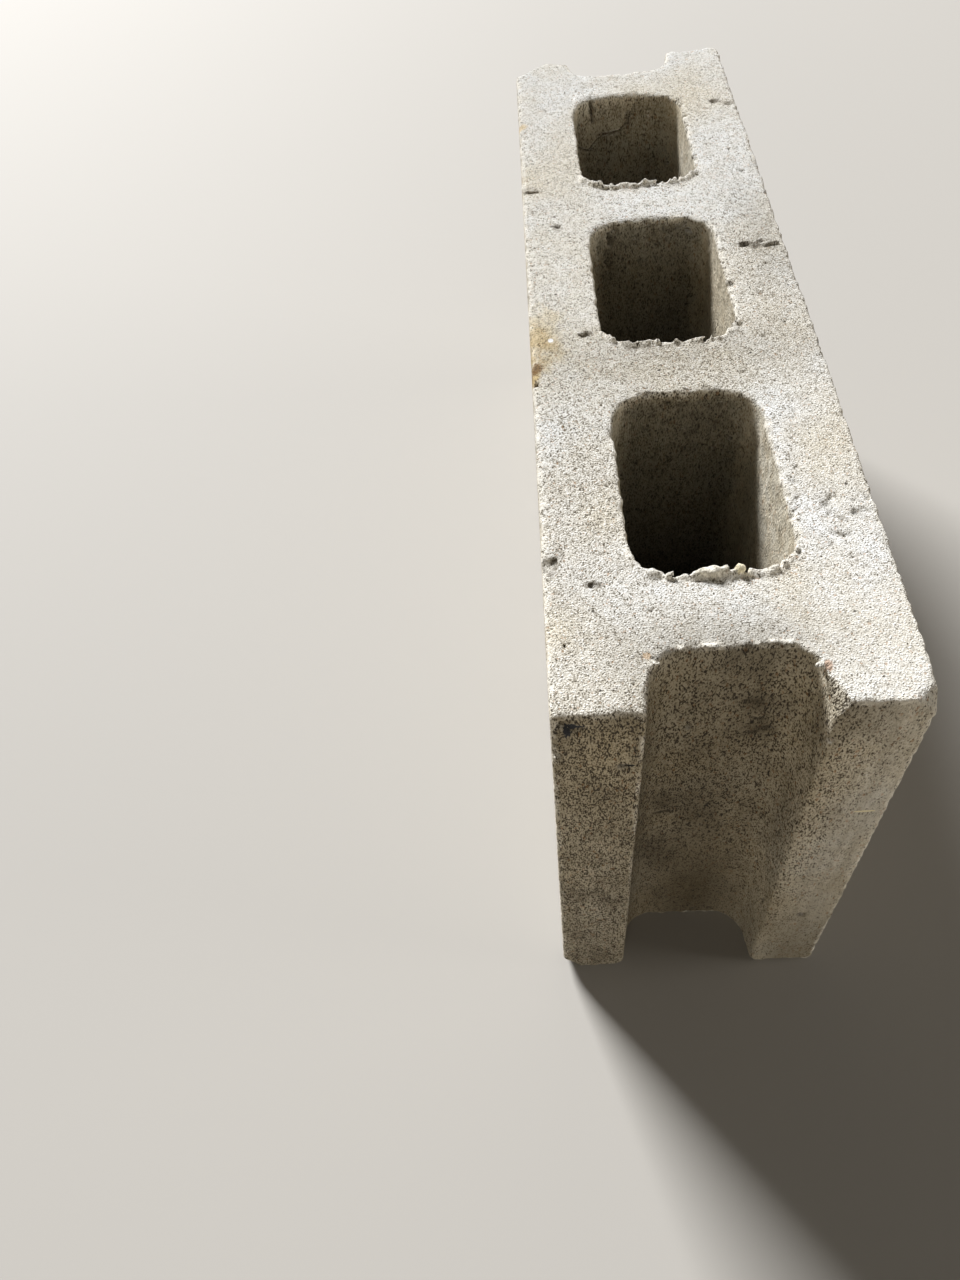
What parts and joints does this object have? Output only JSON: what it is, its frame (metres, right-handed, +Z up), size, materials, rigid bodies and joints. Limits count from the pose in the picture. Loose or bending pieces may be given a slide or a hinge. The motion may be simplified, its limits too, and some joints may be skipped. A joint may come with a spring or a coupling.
{
  "type": "concrete block",
  "caption": "Hollow concrete wall block, cells running through it from bed to bed and a half-open groove in each end; laid in courses with mortar or grout and bars in the cells.",
  "frame": {"origin": "centre of the lower bed, the face the block stands on", "axes": "+X along the block's length, +Y through its thickness, +Z up from the lower bed to the upper bed"},
  "size_m": [0.39, 0.1, 0.19],
  "materials": {
    "concrete": "dry cast, sandy and open-pored, pale warm grey"
  },
  "bodies": {
    "root": {"concrete_block": "concrete"}
  },
  "joints": []
}
